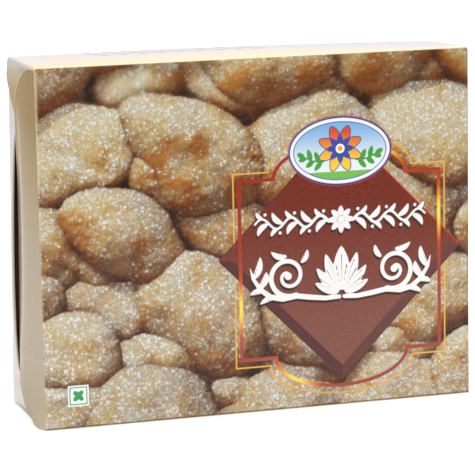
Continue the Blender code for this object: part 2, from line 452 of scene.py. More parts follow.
def panel(name, axes, halves, cells, strides, materials):
    """A printed panel as a thin closed skin, with a fine grid outside and a coarse one inside.

    Returns the piece and each point's place on the flat print, from the panel's middle."""
    u_axis, v_axis, outward = (np.array(axis, float) for axis in axes)
    (held_u, turned_u), (held_v, turned_v) = (fold_lines(*pair) for pair in zip(halves, cells))
    stops_u, stops_v = (
        [0, *range(FOLD_STEPS, FOLD_STEPS + count + 1, stride), 2 * FOLD_STEPS + count]
        for count, stride in zip(cells, strides)
    )

    def surface(columns, rows, depth):
        c, r = (index.ravel() for index in np.meshgrid(columns, rows))
        lean = np.outer(np.tan(turned_u[c]), u_axis) + np.outer(np.tan(turned_v[r]), v_axis) + outward
        lean *= (CREASE_RADIUS - depth) / np.linalg.norm(lean, axis=1)[:, None]
        held = np.outer(held_u[c], u_axis) + np.outer(held_v[r], v_axis) + lean
        held += outward * (halves[2] - CREASE_RADIUS) + (0, 0, HEIGHT / 2)
        flat_u, flat_v = held_u + CREASE_RADIUS * turned_u, held_v + CREASE_RADIUS * turned_v
        return held, np.column_stack((flat_u[c], flat_v[r]))

    wide, tall, few, low = len(held_u), len(held_v), len(stops_u), len(stops_v)
    outside, outside_flat = surface(range(wide), range(tall), 0.0)
    inside, inside_flat = surface(stops_u, stops_v, PRINT_SKIN)
    under = len(outside)
    faces = quads(tall, wide) + quads(low, few, under, inward=True)
    edge, stops = border(tall, wide), border(low, few)
    at = [edge.index(stops_v[stop // few] * wide + stops_u[stop % few]) for stop in stops]
    for a, b, start, end in zip(stops, stops[1:] + stops[:1], at, at[1:] + [len(edge)]):
        run = (edge + edge[:1])[start:end + 1]
        faces.append((*run[::-1], under + a, under + b))
    piece = new_piece(name, settled(np.concatenate((outside, inside))), faces, materials)
    return piece, np.concatenate((outside_flat, inside_flat))


def between_grid_points(grid, u, v, eased=False):
    i, j = u.astype(int), v.astype(int)
    s, t = u - i, v - j
    if eased:
        s, t = s * s * (3 - 2 * s), t * t * (3 - 2 * t)
    low = grid[j, i] * (1 - s) + grid[j, i + 1] * s
    high = grid[j + 1, i] * (1 - s) + grid[j + 1, i + 1] * s
    return low * (1 - t) + high * t


def soft_noise(x, z, size, rng):
    """Smooth random field between -1 and 1 with lumps of the given size."""
    low_x, low_z = x.min() - size, z.min() - size
    columns, rows = int((x.max() - low_x) / size) + 3, int((z.max() - low_z) / size) + 3
    grid = rng.uniform(-1, 1, (rows, columns))
    return between_grid_points(grid, (x - low_x) / size, (z - low_z) / size, eased=True)


def blurred(field, reach):
    """The mean over a square window of the given reach in cells, taken twice."""
    for _ in range(4):
        padded = np.pad(field, ((reach + 1, reach), (0, 0)), mode="edge")
        total = np.cumsum(padded, axis=0)
        field = ((total[2 * reach + 1:] - total[:-2 * reach - 1]) / (2 * reach + 1)).T
    return field


def arrange_sweets(rng, x, z):
    """Places, sizes and turns of the sweets, lower layer first."""
    sweets = []
    for layer in (LOWER_LAYER, UPPER_LAYER):
        wide, tall = layer["spread"]
        for row in range(int((z.max() - z.min()) / tall) + 2):
            for column in range(int((x.max() - x.min()) / wide) + 2):
                if rng.random() < layer["left_out"]:
                    continue
                half_length = rng.uniform(*layer["half_length"])
                sweets.append({
                    "x": x.min() + (column + 0.5 * (row % 2)) * wide + rng.uniform(-7, 7),
                    "z": z.min() + row * tall + rng.uniform(-6, 6),
                    "half_length": half_length,
                    "half_width": half_length * rng.uniform(0.62, 0.80),
                    "turn": rng.uniform(-0.65, 0.40),
                    "lift": layer["lift"] + rng.uniform(-5, 5),
                    "rise": half_length * rng.uniform(0.58, 0.70),
                    "tilt": rng.normal(0, 0.13, 2),
                    "dimple": rng.uniform(-0.10, 0.16),
                })
    return sweets


def shape_sweet(sweet, x, z, rng):
    """The sweet's surface over its window, with its outline share: below 1 inside the sweet."""
    cos, sin = math.cos(sweet["turn"]), math.sin(sweet["turn"])
    dx, dz = x - sweet["x"], z - sweet["z"]
    p = (dx * cos + dz * sin) / sweet["half_length"]
    q = (-dx * sin + dz * cos) / sweet["half_width"]
    angle = np.arctan2(q, p)
    phase = rng.uniform(0, 2 * math.pi, 4)
    wobble = 1 + sum(size * np.sin(n * angle + start) for (n, size), start in zip(OUTLINE_WAVES, phase))
    share = np.maximum(np.hypot(p, q) / wobble + 0.010 * soft_noise(x, z, 1.2, rng), 0)
    dome = np.clip(1 - share ** 2.3, 0, None) ** 0.5 - sweet["dimple"] * np.exp(-(share / 0.45) ** 2)
    bumps = sum(depth * soft_noise(x, z, size, rng) for size, depth in LUMPS_AND_CRUMBS)
    crease_turn, crease_off = rng.uniform(0, math.pi), rng.uniform(-0.3, 0.3)
    crease_depth = CREASE_DEPTH * rng.uniform(0, 1) ** 3
    across = p * math.cos(crease_turn) + q * math.sin(crease_turn) - crease_off
    bumps = bumps - crease_depth * np.exp(-(across / CREASE_HALF_WIDTH) ** 2)
    leaning = sweet["tilt"][0] * dx + sweet["tilt"][1] * dz
    surface = sweet["lift"] + sweet["rise"] * dome + leaning + bumps * np.clip(dome * 1.6, 0, 1)
    return surface, share


def heap_of_sweets(seed):
    """Fields of the printed heap on an even grid: its light, sugar, tone and sharpness."""
    rng = np.random.default_rng(seed)
    across = np.arange(-LENGTH / 2 - HEAP_MARGIN, LENGTH / 2 + HEAP_MARGIN, HEAP_PITCH)
    height = np.arange(-HEAP_MARGIN, HEIGHT + HEAP_MARGIN, HEAP_PITCH)
    x, z = np.meshgrid(across, height)
    top = np.full(x.shape, HEAP_FLOOR)
    slope_x, slope_z, tone, sharp = (np.zeros(x.shape) for _ in range(4))
    for sweet in arrange_sweets(rng, x, z):
        reach = sweet["half_length"] * 1.15
        window = tuple(
            slice(*np.searchsorted(line, (sweet[axis] - reach, sweet[axis] + reach)))
            for line, axis in ((height, "z"), (across, "x"))
        )
        if min(x[window].shape) < 3:
            continue
        surface, share = shape_sweet(sweet, x[window], z[window], rng)
        rise_z, rise_x = np.gradient(surface, HEAP_PITCH)
        wins = (share < 1) & (surface > top[window])
        for field, values in ((top, surface), (slope_x, rise_x), (slope_z, rise_z)):
            field[window][wins] = values[wins]
        tone[window][wins] = rng.uniform(-1, 1)
        focus = (FOCUS_GONE_AT - sweet["z"]) / FOCUS_FADE + sweet["lift"] / FOCUS_DEPTH
        sharp[window][wins] = np.clip(focus, LEAST_FOCUS, 1)
    steep = np.sqrt(slope_x ** 2 + slope_z ** 2 + 1)
    facing_x, facing_z, facing_out = -slope_x / steep, -slope_z / steep, 1 / steep
    sun = SUN / np.linalg.norm(SUN)
    direct = np.clip(facing_x * sun[0] + facing_z * sun[1] + facing_out * sun[2], 0, 1)
    level = math.hypot(sun[0], sun[1])
    shade = np.zeros(x.shape)
    for reach in SHADOW_REACHES:
        rows, columns = (int(round(part / level * reach / HEAP_PITCH)) for part in (sun[1], sun[0]))
        towards_sun = np.roll(top, (-rows, -columns), axis=(0, 1))
        ray = top + sun[2] / level * reach
        shade = np.maximum(shade, np.clip((towards_sun - ray) / 2.0, 0, 1))
    wide, narrow = int(6 / HEAP_PITCH), int(2 / HEAP_PITCH)
    sunk = np.clip((blurred(top, wide) - top) / 9, 0, 2)
    pinched = np.clip((blurred(top, narrow) - top) / 4, 0, 2)
    light = AMBIENT_LIGHT + FRONT_LIGHT * facing_out + SUNLIGHT * direct * (1 - SHADOW_STRENGTH * shade)
    sheltered = 1 - 0.75 * np.clip(facing_z * 1.6, 0, 1)
    light *= np.exp(-sheltered * (0.45 * sunk + 0.55 * sunk ** 2 + 0.7 * pinched))
    light *= 0.82 + 0.24 * z / HEIGHT
    light = sharp * light + (1 - sharp) * blurred(light, 2)
    sugar = 0.36 - 0.14 * z / HEIGHT + 0.62 * facing_z + 0.35 * facing_out
    sugar += 0.35 * soft_noise(x, z, 7, rng)
    fields = {"light": light, "sugar": np.clip(sugar, 0, 1), "tone": tone, "sharpness": sharp}
    return across, height, fields


def read_heap(heap, x, z):
    """The heap's fields at places on the print, by straight interpolation between grid points."""
    across, height, fields = heap
    u = (x + WINDOW_ON_HEAP[0] - across[0]) / HEAP_PITCH
    v = (z + WINDOW_ON_HEAP[1] - height[0]) / HEAP_PITCH
    return {name: between_grid_points(field, u, v) for name, field in fields.items()}


def ellipse(x, z, centre, half):
    """Distance to an ellipse's line, below zero inside it."""
    u, v = (x - centre[0]) / half[0], (z - centre[1]) / half[1]
    share = np.hypot(u, v) + 1e-6
    return (share - 1) * share / (np.hypot(u / half[0], v / half[1]) + 1e-6)


def rectangle(x, z, centre, half):
    return np.maximum(np.abs(x - centre[0]) - half[0], np.abs(z - centre[1]) - half[1])


def ruled_frame(x, z, centre, half, arch):
    outline = rectangle(x, z, centre, half)
    for end in (-1, 1):
        outline = np.minimum(outline, ellipse(x, z, (centre[0], centre[1] + end * half[1]), arch))
    return outline


def stroke(x, z, path, widths):
    """Distance to the edge of a brush stroke along a path, below zero inside it."""
    nearest = np.full(x.shape, FAR)
    for (ax, az), (bx, bz), wa, wb in zip(path, path[1:], widths, widths[1:]):
        dx, dz = bx - ax, bz - az
        share = np.clip(((x - ax) * dx + (z - az) * dz) / (dx * dx + dz * dz), 0, 1)
        gap = np.hypot(x - ax - share * dx, z - az - share * dz) - (wa + (wb - wa) * share)
        nearest = np.minimum(nearest, gap)
    return nearest


def leaf(x, z, root, tip, half_width, bend=0.0):
    """A pointed leaf or petal from root to tip, bent sideways in its middle."""
    t = np.linspace(0, 1, 11)
    root, tip = np.array(root, float), np.array(tip, float)
    sideways = np.array((root[1] - tip[1], tip[0] - root[0]))
    path = root + np.outer(t, tip - root) + np.outer(np.sin(math.pi * t) * bend, sideways)
    return stroke(x, z, path, half_width * np.sin(math.pi * t ** 0.85) ** 0.75)


def ring_of_petals(x, z, count, inner, outer, half_width, turn=0.0):
    """Petals round a flower's middle, all at once by folding the circle into one petal's sector."""
    sector = 2 * math.pi / count
    angle = np.arctan2(z, x) - turn
    angle = angle - sector * np.round(angle / sector)
    far = np.hypot(x, z)
    return leaf(far * np.cos(angle), far * np.sin(angle), (inner, 0), (outer, 0), half_width)


def joined(shapes):
    """One outline round all the shapes."""
    return np.minimum.reduce(list(shapes))


def vine_border(x, z):
    """The upper ornament: a wavy stem with leaves and berries in its bends and a flower in its middle."""
    x, z = x - PLAQUE_CENTRE[0], z - VINE_HEIGHT
    side = np.abs(x)
    run = np.linspace(*VINE_RUN, 56)
    wave = VINE_WAVE * np.sin(math.pi * (run - VINE_START) / VINE_STEP)
    shapes = [stroke(side, z, np.column_stack((run, wave)), np.linspace(0.55, 0.38, len(run)))]
    for number in range(5):
        start, lift = VINE_START + VINE_STEP * number, 1 - 2 * (number % 2)
        shapes += [
            leaf(side, z, (start + 0.5, 0.0), (start + 4.4, -4.2 * lift), 1.05, 0.16 * lift),
            leaf(side, z, (start + 2.2, 1.8 * lift), (start + 4.9, 4.6 * lift), 0.78, -0.14 * lift),
            np.hypot(side - start - 1.5, z - 3.4 * lift) - 0.62,
        ]
    return joined([*shapes, ring_of_petals(x, z, 8, 1.5, 4.9, 1.05), np.hypot(x, z) - 1.25])


PALMETTE_FOOT = 41.0
PALMETTE_PETALS = ((0, 17.4, 2.3), (22, 16.0, 2.0), (44, 13.8, 1.75), (66, 11.2, 1.5))
SCROLL_LEAVES = (
    ((25.6, 41.2), (31.0, 39.2), 0.95, 0.10),
    ((29.8, 43.8), (34.6, 42.8), 1.0, 0.12),
    ((31.0, 45.0), (28.4, 50.8), 1.25, 0.12),
    ((33.2, 48.4), (30.6, 56.4), 1.25, 0.10),
    ((20.6, 55.9), (26.6, 57.9), 1.1, -0.16),
    ((15.4, 53.2), (12.9, 57.9), 1.0, 0.14),
)
SCROLL_CENTRE = (20.2, 48.6)
SCROLL_FOOT = ((1.0, 39.9), (6.0, 39.7), (11.5, 40.4), (17.7, 41.4))
SCROLL_TAIL = ((17.0, 41.3), (22.5, 40.6), (27.0, 41.6), (30.6, 44.4), (33.4, 48.6), (34.4, 52.4))


def petal_line(angle, start, end):
    turn = math.radians(angle)
    return tuple((r * math.sin(turn), PALMETTE_FOOT + r * math.cos(turn)) for r in (start, end))


def lotus_palmette(x, z):
    """The lower ornament: a lotus that opens from its middle, between two scrolls with leaves."""
    side = np.abs(x - PLAQUE_CENTRE[0])
    t = np.linspace(0, 1, 46)
    turn = np.radians(-112 + 560 * t)
    radius = 6.6 * (1 - t) ** 0.8 + 0.9
    scroll = SCROLL_CENTRE + radius[:, None] * np.column_stack((np.cos(turn), np.sin(turn)))
    petals = [(*petal_line(angle, 1.2, length), width, -0.05) for angle, length, width in PALMETTE_PETALS]
    return joined([
        *(leaf(side, z, *shape) for shape in (*petals, *SCROLL_LEAVES)),
        stroke(side, z, scroll, 0.95 - 0.40 * t),
        np.hypot(side - SCROLL_CENTRE[0], z - SCROLL_CENTRE[1]) - 1.35,
        stroke(side, z, SCROLL_FOOT, (0.75, 0.85, 0.95, 0.95)),
        stroke(side, z, SCROLL_TAIL, (0.95, 1.0, 0.95, 0.85, 0.6, 0.2)),
    ])


def ornaments(x, z):
    return np.minimum(vine_border(x, z), lotus_palmette(x, z))


def ornament_veins(x, z):
    """Fine lines inside the lower ornament: the petals' ribs, the gaps between them, the leaves' ribs."""
    side = np.abs(x - PLAQUE_CENTRE[0])
    lines = [(petal_line(angle, 4.5, 0.82 * length), (0.05, 0.17)) for angle, length, _ in PALMETTE_PETALS]
    lines += [(petal_line(angle, 2.6, 10.5), (0.05, 0.22)) for angle in (11, 33, 55)]
    for root, tip, _, _ in SCROLL_LEAVES:
        run = np.subtract(tip, root)
        lines.append(((root + 0.2 * run, root + 0.75 * run), (0.14, 0.06)))
    return joined(stroke(side, z, path, widths) for path, widths in lines)


SPRAY_STEM = ((6.0, -3.4), (10.5, -3.2), (14.4, -1.2))
SPRAY_LEAVES = (
    ((7.0, -3.4), (9.8, -6.6)), ((8.0, -3.4), (9.6, 0.2)), ((10.2, -3.2), (13.0, -5.2)),
    ((11.0, -2.9), (12.2, 1.2)), ((13.6, -1.6), (16.2, -0.2)), ((13.0, -2.0), (15.6, -2.8)),
)


def leaf_sprays(x, z):
    """Two sprays of leaves beside the badge's flower, in the badge's own coordinates."""
    side = np.abs(x)
    stem = stroke(side, z, SPRAY_STEM, (0.35, 0.32, 0.25))
    return joined([stem, *(leaf(side, z, root, tip, 0.95) for root, tip in SPRAY_LEAVES)])


def lay_out_print(flat, heap_seed):
    """Everything that the plates print on a broad panel, at each point of its flat sheet.

    Outlines are distances in millimetres, below zero inside the shape, so that they stay crisp."""
    x, z = flat[:, 0], flat[:, 1] + HEIGHT / 2
    px, pz = x - PLAQUE_CENTRE[0], z - PLAQUE_CENTRE[1]
    bx, bz = x - BADGE_CENTRE[0], z - BADGE_CENTRE[1]
    fx, fz = bx, bz - BADGE_FLOWER_RAISED
    tx, tz = x - TILE_CENTRE[0], z - TILE_CENTRE[1]
    from_end, from_side = LENGTH / 2 - np.abs(x), HEIGHT / 2 - np.abs(flat[:, 1])
    glow = [np.exp(-((x - gx) ** 2 + (z - gz) ** 2) / (2 * GLINT_SPREAD ** 2)) for gx, gz in GLINTS]
    fields = read_heap(heap_of_sweets(heap_seed), x, z)
    fields |= {name: ruled_frame(x, z, **sizes) for name, sizes in RULES.items()}
    fields |= {
        "across": x,
        "up": z,
        "from_fold": np.minimum(from_end, from_side),
        "from_corner": np.hypot(from_end, from_side),
        "plaque": (np.abs(px) + np.abs(pz) - PLAQUE_REACH) / math.sqrt(2),
        "glint": np.clip(sum(glow), 0, 1),
        "badge": ellipse(x, z, BADGE_CENTRE, BADGE_HALF),
        "outer_petals": ring_of_petals(fx, fz, 8, 1.8, 8.4, 1.75, math.pi / 8),
        "inner_petals": ring_of_petals(fx, fz, 8, 1.2, 5.2, 1.1),
        "flower_eye": np.hypot(fx, fz) - 1.7,
        "sprays": leaf_sprays(bx, bz),
        "tile": rectangle(x, z, TILE_CENTRE, (TILE_HALF, TILE_HALF)),
        "tile_flower": ring_of_petals(tx, tz, 4, 0.2, 2.3, 0.85, math.pi / 4),
    }
    near = (np.abs(px) < ORNAMENT_HALF[0]) & (np.abs(z - ORNAMENT_HEIGHT) < ORNAMENT_HALF[1])
    for name, drawing, (dx, dz) in (
        ("ornament", ornaments, (0, 0)),
        ("ornament_shadow", ornaments, SHADOW_SHIFT),
        ("veins", ornament_veins, (0, 0)),
    ):
        fields[name] = np.full(x.shape, FAR)
        fields[name][near] = drawing(x[near] + dx, z[near] + dz)
    return fields


def store(piece, fields):
    for name, values in fields.items():
        attribute = piece.data.attributes.new(name, "FLOAT", "POINT")
        attribute.data.foreach_set("value", np.asarray(values, np.float32))


def reading(tree, name):
    return add_node(tree, "Attribute", {}, attribute_name=name)["Fac"]


def make_ink_layer():
    """One ink over what is printed under it, inside an outline given as a distance."""
    tree, given, result = new_group(
        "ink_layer",
        {"Below": "Color", "Ink": "Color", "Outline": "Float", "Softness": "Float", "Strength": "Float"},
        {"Colour": "Color"},
    )
    edge = over(given["Outline"], given["Softness"])
    cover = times(graded(edge, 1.0, -1.0), given["Strength"])
    feed(result["Colour"], mixed(cover, given["Below"], given["Ink"]))
    return tree


ink_layer = make_ink_layer()


def inked(below, ink, outline, softness=0.13, strength=1.0):
    given = {"Below": below, "Ink": ink, "Outline": outline, "Softness": softness, "Strength": strength}
    return grouped(tree_of(below, outline), ink_layer, **given)["Colour"]


def lay_inks(below, layers):
    """Prints inks one over another, each inside its own outline."""
    for ink, outline in layers:
        below = inked(below, ink, outline)
    return below


def make_fold_wear():
    """Board that shows through cracked ink along a fold or a cut edge, in broken patches."""
    tree, given, result = new_group(
        "fold_wear", {"From fold": "Float", "Reach": "Float", "Amount": "Float"}, {"Mask": "Float"},
    )
    ragged = noise(place_in_millimetres(tree), 1.1, 4.0, 0.65)
    worn = minus(plus(ragged, given["Amount"]), over(given["From fold"], given["Reach"]))
    feed(result["Mask"], graded(worn, 0.42, 0.62))
    return tree


fold_wear = make_fold_wear()


def worn_along(tree, field, reach, amount):
    return grouped(tree, fold_wear, From_fold=reading(tree, field), Reach=reach, Amount=amount)["Mask"]


DOUGH_STOPS = (
    (0.00, (20, 13, 6)),
    (0.12, (48, 28, 13)),
    (0.26, (93, 61, 38)),
    (0.40, (133, 99, 60)),
    (0.54, (162, 130, 77)),
    (0.68, (182, 154, 96)),
    (0.82, (198, 176, 118)),
    (1.00, (212, 196, 146)),
)
TOASTED = (248, 198, 136)
WARM_FLECK = (255, 216, 150)
COOL_FLECK = (232, 246, 255)
FROST_IN_SHADE = (104, 96, 86)
FROST_IN_LIGHT = (212, 212, 206)
SUGAR_IN_SHADE = (132, 130, 126)
SUGAR_IN_LIGHT = (226, 234, 238)


def stepped_colour(value, stops):
    node = tree_of(value).nodes.new("ShaderNodeValToRGB")
    ramp = node.color_ramp
    while len(ramp.elements) < len(stops):
        ramp.elements.new(0.5)
    for element, (position, swatch) in zip(ramp.elements, stops):
        element.position, element.color = position, colour(*swatch)
    feed(node.inputs["Fac"], value)
    return node.outputs["Color"]


def crystals(place, size, sugar, softness):
    """Sugar crystals of about one size, each its own brightness, and more where the sugar lies thick."""
    tree = tree_of(place)
    cells = add_node(tree, "TexVoronoi", {"Vector": place, "Scale": 1 / size})
    draws = add_node(tree, "SeparateColor", {0: cells["Color"]})
    chosen = graded(minus(sugar, draws["Red"]), -0.08, 0.08)
    speck = graded(cells["Distance"], 0.55 + softness, 0.42 - softness)
    return times(times(speck, chosen), graded(draws["Green"], 0.0, 1.0, 0.40, 1.0))


def jostled(place, reach, size):
    """The place moved about at random, so that what is drawn there has irregular outlines."""
    given = {0: noise(place, size, 1.0, output="Color"), 1: (2 * reach,) * 3, 2: place}
    return add_node(tree_of(place), "VectorMath", given, operation="MULTIPLY_ADD")["Vector"]


def sweets_colour(tree, place):
    """The sugared sweets: mottled dough, a thin frost of fine sugar, and coarse crystals on top."""
    light, sugar, tone, sharpness = (
        reading(tree, name) for name in ("light", "sugar", "tone", "sharpness")
    )
    mottle = noise(place, 5.5, 3.0, 0.6)
    crumb = noise(place, 0.8, 2.0)
    lit = times_plus(mottle, 0.20, minus(light, 0.10))
    lit = times_plus(crumb, 0.23, minus(lit, 0.115))
    lit = times_plus(tone, 0.04, lit)
    dough = stepped_colour(lit, DOUGH_STOPS)
    patchy = times_plus(noise(place, 8.0, 3.0), 1.2, minus(sugar, 0.60))
    bare = times_plus(noise(place, 6.0, 3.0, 0.55), 1.4, minus(-0.7, patchy))
    dough = mixed(graded(bare, -0.48, 0.10), dough, TOASTED, "MULTIPLY")
    scattered = jostled(place, 0.5, 0.9)
    flecks = noise(scattered, 1.0, 3.0, 0.7)
    dough = mixed(graded(flecks, 0.46, 0.64, 0.0, 0.8), dough, WARM_FLECK, "MULTIPLY")
    clumps = times_plus(patchy, 0.36, noise(scattered, 1.1, 4.0, 0.8))
    frost = mixed(lit, FROST_IN_SHADE, FROST_IN_LIGHT)
    lit_enough = graded(light, 0.22, 0.48)
    frosted = times(graded(clumps, 0.58, 1.02, 0.0, 0.56), lit_enough)
    dough = mixed(frosted, dough, frost)
    thick = times(times(patchy, 0.40), lit_enough)
    ragged = jostled(place, 0.62, 0.55)
    coarse = crystals(ragged, 1.25, thick, 0.07)
    fine = crystals(ragged, 0.75, thick, 0.1)
    crisp = times(larger(coarse, fine), 0.78)
    soft = times(crystals(scattered, 2.0, thick, 0.25), 0.62)
    cover = add_node(tree, "Mix", {0: graded(sharpness, 0.0, 0.7), 2: soft, 3: crisp})[0]
    bright = mixed(graded(lit, 0.0, 0.8), SUGAR_IN_SHADE, SUGAR_IN_LIGHT)
    sugared = mixed(cover, dough, bright)
    return mixed(graded(flecks, 0.54, 0.36, 0.0, 0.7), sugared, COOL_FLECK, "MULTIPLY")


def band(outline, middle, half):
    """The outline of a band along another outline, at a distance from it."""
    offset = calc("ABSOLUTE", minus(outline, middle))
    return minus(offset, half)


def plaque_inks(tree, below):
    """The plaque's face, lighter towards its foot by a painted reflection, its two bevels and the fine
    bright line on its upper right side.
    """
    outline, across, up = (reading(tree, name) for name in ("plaque", "across", "up"))
    # Painted reflection: the face is lighter towards its foot, as if its varnish mirrored the white table.
    face = mixed(graded(up, 78, 20), (112, 34, 13), (127, 74, 62))
    screen = noise(place_in_millimetres(tree), 0.45, 2.0, 0.7)
    face = mixed(graded(screen, 0.50, 0.30, 0.0, 0.30), face, (52, 12, 2))
    face = mixed(graded(screen, 0.50, 0.75, 0.0, 0.16), face, (220, 150, 120))
    above_middle = minus(up, PLAQUE_CENTRE[1])
    bevel = larger(band(outline, -PLAQUE_BEVEL / 2, PLAQUE_BEVEL / 2), above_middle)
    side = graded(across, PLAQUE_CENTRE[0] - 0.1, PLAQUE_CENTRE[0] + 0.1)
    right_top = larger(minus(PLAQUE_CENTRE[0], across), times(above_middle, -1.0))
    return lay_inks(below, (
        (face, outline),
        (mixed(side, (84, 42, 40), (98, 54, 49)), bevel),
        ((196, 50, 28), larger(band(outline, -0.2, 0.2), right_top)),
    ))


def rule_inks(tree, below):
    """The heavy rule in red that flares to gold at its glints, its red paled towards its foot by a painted
    reflection.
    """
    glint = reading(tree, "glint")
    metal = stepped_colour(glint, (
        (0.00, (166, 42, 8)),
        (0.35, (194, 76, 18)),
        (0.70, (234, 152, 40)),
        (1.00, (250, 218, 82)),
    ))
    # Painted reflection: low on the panel the red pales, as if its varnish mirrored the white table.
    painted_reflection_low = times(graded(reading(tree, "up"), 80, 20, 0.0, 0.4), graded(glint, 0.5, 0.1))
    metal = mixed(painted_reflection_low, metal, (150, 92, 84))
    return inked(below, metal, band(reading(tree, "thick_rule"), 0.0, THICK_RULE / 2))


def ornament_inks(tree, below):
    """Ivory ornaments with a dark line inside their edges and a dark shadow below and left of them."""
    ornament = reading(tree, "ornament")
    below = inked(below, (44, 18, 14), reading(tree, "ornament_shadow"), softness=0.2, strength=0.9)
    below = inked(below, (86, 38, 30), minus(ornament, 0.12), softness=0.12)
    below = inked(below, (240, 237, 236), ornament)
    return inked(below, (96, 48, 40), reading(tree, "veins"), softness=0.10)


def badge_inks(tree, below):
    """An oval badge in sky blue with a gold and red flower, green sprays and a deep blue rim."""
    badge, up, sprays, outer_petals, inner_petals, eye = (
        reading(tree, name)
        for name in ("badge", "up", "sprays", "outer_petals", "inner_petals", "flower_eye")
    )
    above_middle, inner = minus(up, BADGE_CENTRE[1]), plus(badge, BADGE_RIM)
    below = inked(below, (176, 70, 62), minus(badge, 0.45), strength=0.6)
    return lay_inks(below, (
        ((52, 62, 140), badge),
        ((238, 240, 246), plus(badge, 0.55)),
        (mixed(graded(above_middle, -6, 10), (230, 236, 243), (126, 178, 222)), inner),
        ((118, 188, 78), larger(inner, minus(above_middle, BADGE_TURF))),
        ((52, 72, 160), band(badge, -BADGE_RIM, 0.16)),
        ((70, 158, 56), sprays),
        ((52, 66, 150), minus(outer_petals, 0.32)),
        (mixed(graded(above_middle, -6, 8), (246, 204, 60), (222, 74, 38)), outer_petals),
        ((56, 76, 166), inner_petals),
        ((250, 246, 236), eye),
        ((238, 164, 48), plus(eye, 0.75)),
    ))


def tile_inks(tree, below):
    """A small white tile with a green border and a green flower."""
    tile = reading(tree, "tile")
    return lay_inks(below, (
        ((238, 240, 238), tile),
        ((62, 160, 112), band(tile, -0.72, 0.2)),
        ((44, 158, 88), reading(tree, "tile_flower")),
    ))


def make_full_print():
    material, tree, inputs = new_material("full_print", roughness=0.32, coat=0.06)
    place = place_in_millimetres(tree)
    across, up, from_corner = (reading(tree, name) for name in ("across", "up", "from_corner"))
    printed = sweets_colour(tree, place)
    printed = inked(printed, (232, 172, 70), band(reading(tree, "thin_rule"), 0.0, THIN_RULE / 2))
    for inks in (plaque_inks, rule_inks, ornament_inks, badge_inks, tile_inks):
        printed = inks(tree, printed)

    ragged = times_plus(noise(place, 1.6, 3.0, 0.6), -1.2, plus(across, LENGTH / 2 + 0.6))
    beside = graded(ragged, graded(up, 94, 122, 0.9, 2.0), 0.2)
    printed = mixed(times(beside, graded(up, 0, HEIGHT, 0.15, 0.75)), printed, (224, 204, 164))
    # Painted highlight: a pale line on the top crease, where it turns up towards the light above.
    printed = mixed(graded(up, HEIGHT - 0.75, HEIGHT - 0.35), printed, (236, 216, 172))
    # Painted shade: the right-hand fold darkens as it turns away from the light.
    turned = graded(across, LENGTH / 2 - 1.0, LENGTH / 2 - 0.3, 0.0, 0.7)
    printed = mixed(turned, printed, (196, 176, 168), "MULTIPLY")

    upper = graded(up, 40, 80, 0.0, 0.5)
    printed = inked(printed, (64, 46, 38), band(from_corner, 1.6, 0.3), softness=0.4, strength=upper)
    bruised = plus(times(graded(from_corner, 2.4, 0.8), upper), 0.2)
    worn = worn_along(tree, "from_fold", reach=0.9, amount=bruised)
    worn = times(worn, graded(from_corner, 3.0, 1.5, 0.55, 1.0))
    printed = mixed(worn, printed, (236, 222, 190))
    # Painted shade: a dark line on the bottom crease, where it turns under towards the table.
    printed = mixed(graded(up, 1.1, 0.5, 0.0, 0.8), printed, (72, 62, 50))
    feed(inputs["Base Color"], printed)
    fibre = grained(tree, inputs, depth=0.10, fibre_size=0.6, wave_size=9.0)
    feed(inputs["Roughness"], graded(fibre, 0.3, 0.7, 0.28, 0.38))
    return material


full_print = make_full_print()
broad_halves = (LENGTH / 2, HEIGHT / 2, DEPTH / 2)
for name, axes, seed in (
    ("front_print", ((1, 0, 0), (0, 0, 1), (0, -1, 0)), SWEETS_IN_FRONT_SEED),
    ("back_print", ((-1, 0, 0), (0, 0, 1), (0, 1, 0)), SWEETS_BEHIND_SEED),
):
    broad_panel, broad_flat = panel(name, axes, broad_halves, FRONT_CELLS, WALL_STRIDE, [full_print])
    store(broad_panel, lay_out_print(broad_flat, seed))
    fit_to_carton(broad_panel)

# The narrow top and bottom: white coated board with a cream tint that deepens towards the front crease.
# The top has a band of lozenges and an empty ruled table, in grey.
NARROW_CELLS = (340, 60)
NARROW_STRIDE = (20, 20)
LOZENGE_BAND = (-54.0, 13.0)
LOZENGE_PITCH = 7.0
LOZENGE_HALF = (2.9, 0.85)
LOZENGE_ROW = 4.4
RULED_TABLE = (22.0, 61.0)
TABLE_COLUMNS = (22.0, 35.0, 48.0, 61.0)
BAND_MIDDLE = 32.0
BAND_HALF = 6.8
HAIRLINE_HALF = 0.2


def outside_span(along, span):
    """Distance along the carton to a span of it, below zero inside."""
    return np.abs(along - (span[0] + span[1]) / 2) - (span[1] - span[0]) / 2


def grey_band(along, from_front):
    """Three rows of long lozenges between two hairlines, then an empty ruled table, as one outline."""
    off_middle = from_front - BAND_MIDDLE
    row = np.clip(np.round(off_middle / LOZENGE_ROW), -1, 1)
    off_row = np.abs(off_middle - LOZENGE_ROW * row)
    shifted = along - LOZENGE_BAND[0] + row * LOZENGE_PITCH / 3
    step = np.abs(shifted % LOZENGE_PITCH - LOZENGE_PITCH / 2)
    lozenge = (step / LOZENGE_HALF[0] + off_row / LOZENGE_HALF[1] - 1) * LOZENGE_HALF[1]
    hairline = np.abs(np.abs(off_middle) - BAND_HALF) - HAIRLINE_HALF
    shape = np.maximum(np.minimum(lozenge, hairline), outside_span(along, LOZENGE_BAND))
    shape = np.minimum(shape, np.maximum(hairline, outside_span(along, RULED_TABLE)))
    for column in TABLE_COLUMNS:
        upright = np.maximum(np.abs(along - column) - HAIRLINE_HALF, np.abs(off_middle) - BAND_HALF)
        shape = np.minimum(shape, upright)
    return shape


def place_along(tree, axis):
    return add_node(tree, "SeparateXYZ", {0: place_in_millimetres(tree)})[axis]


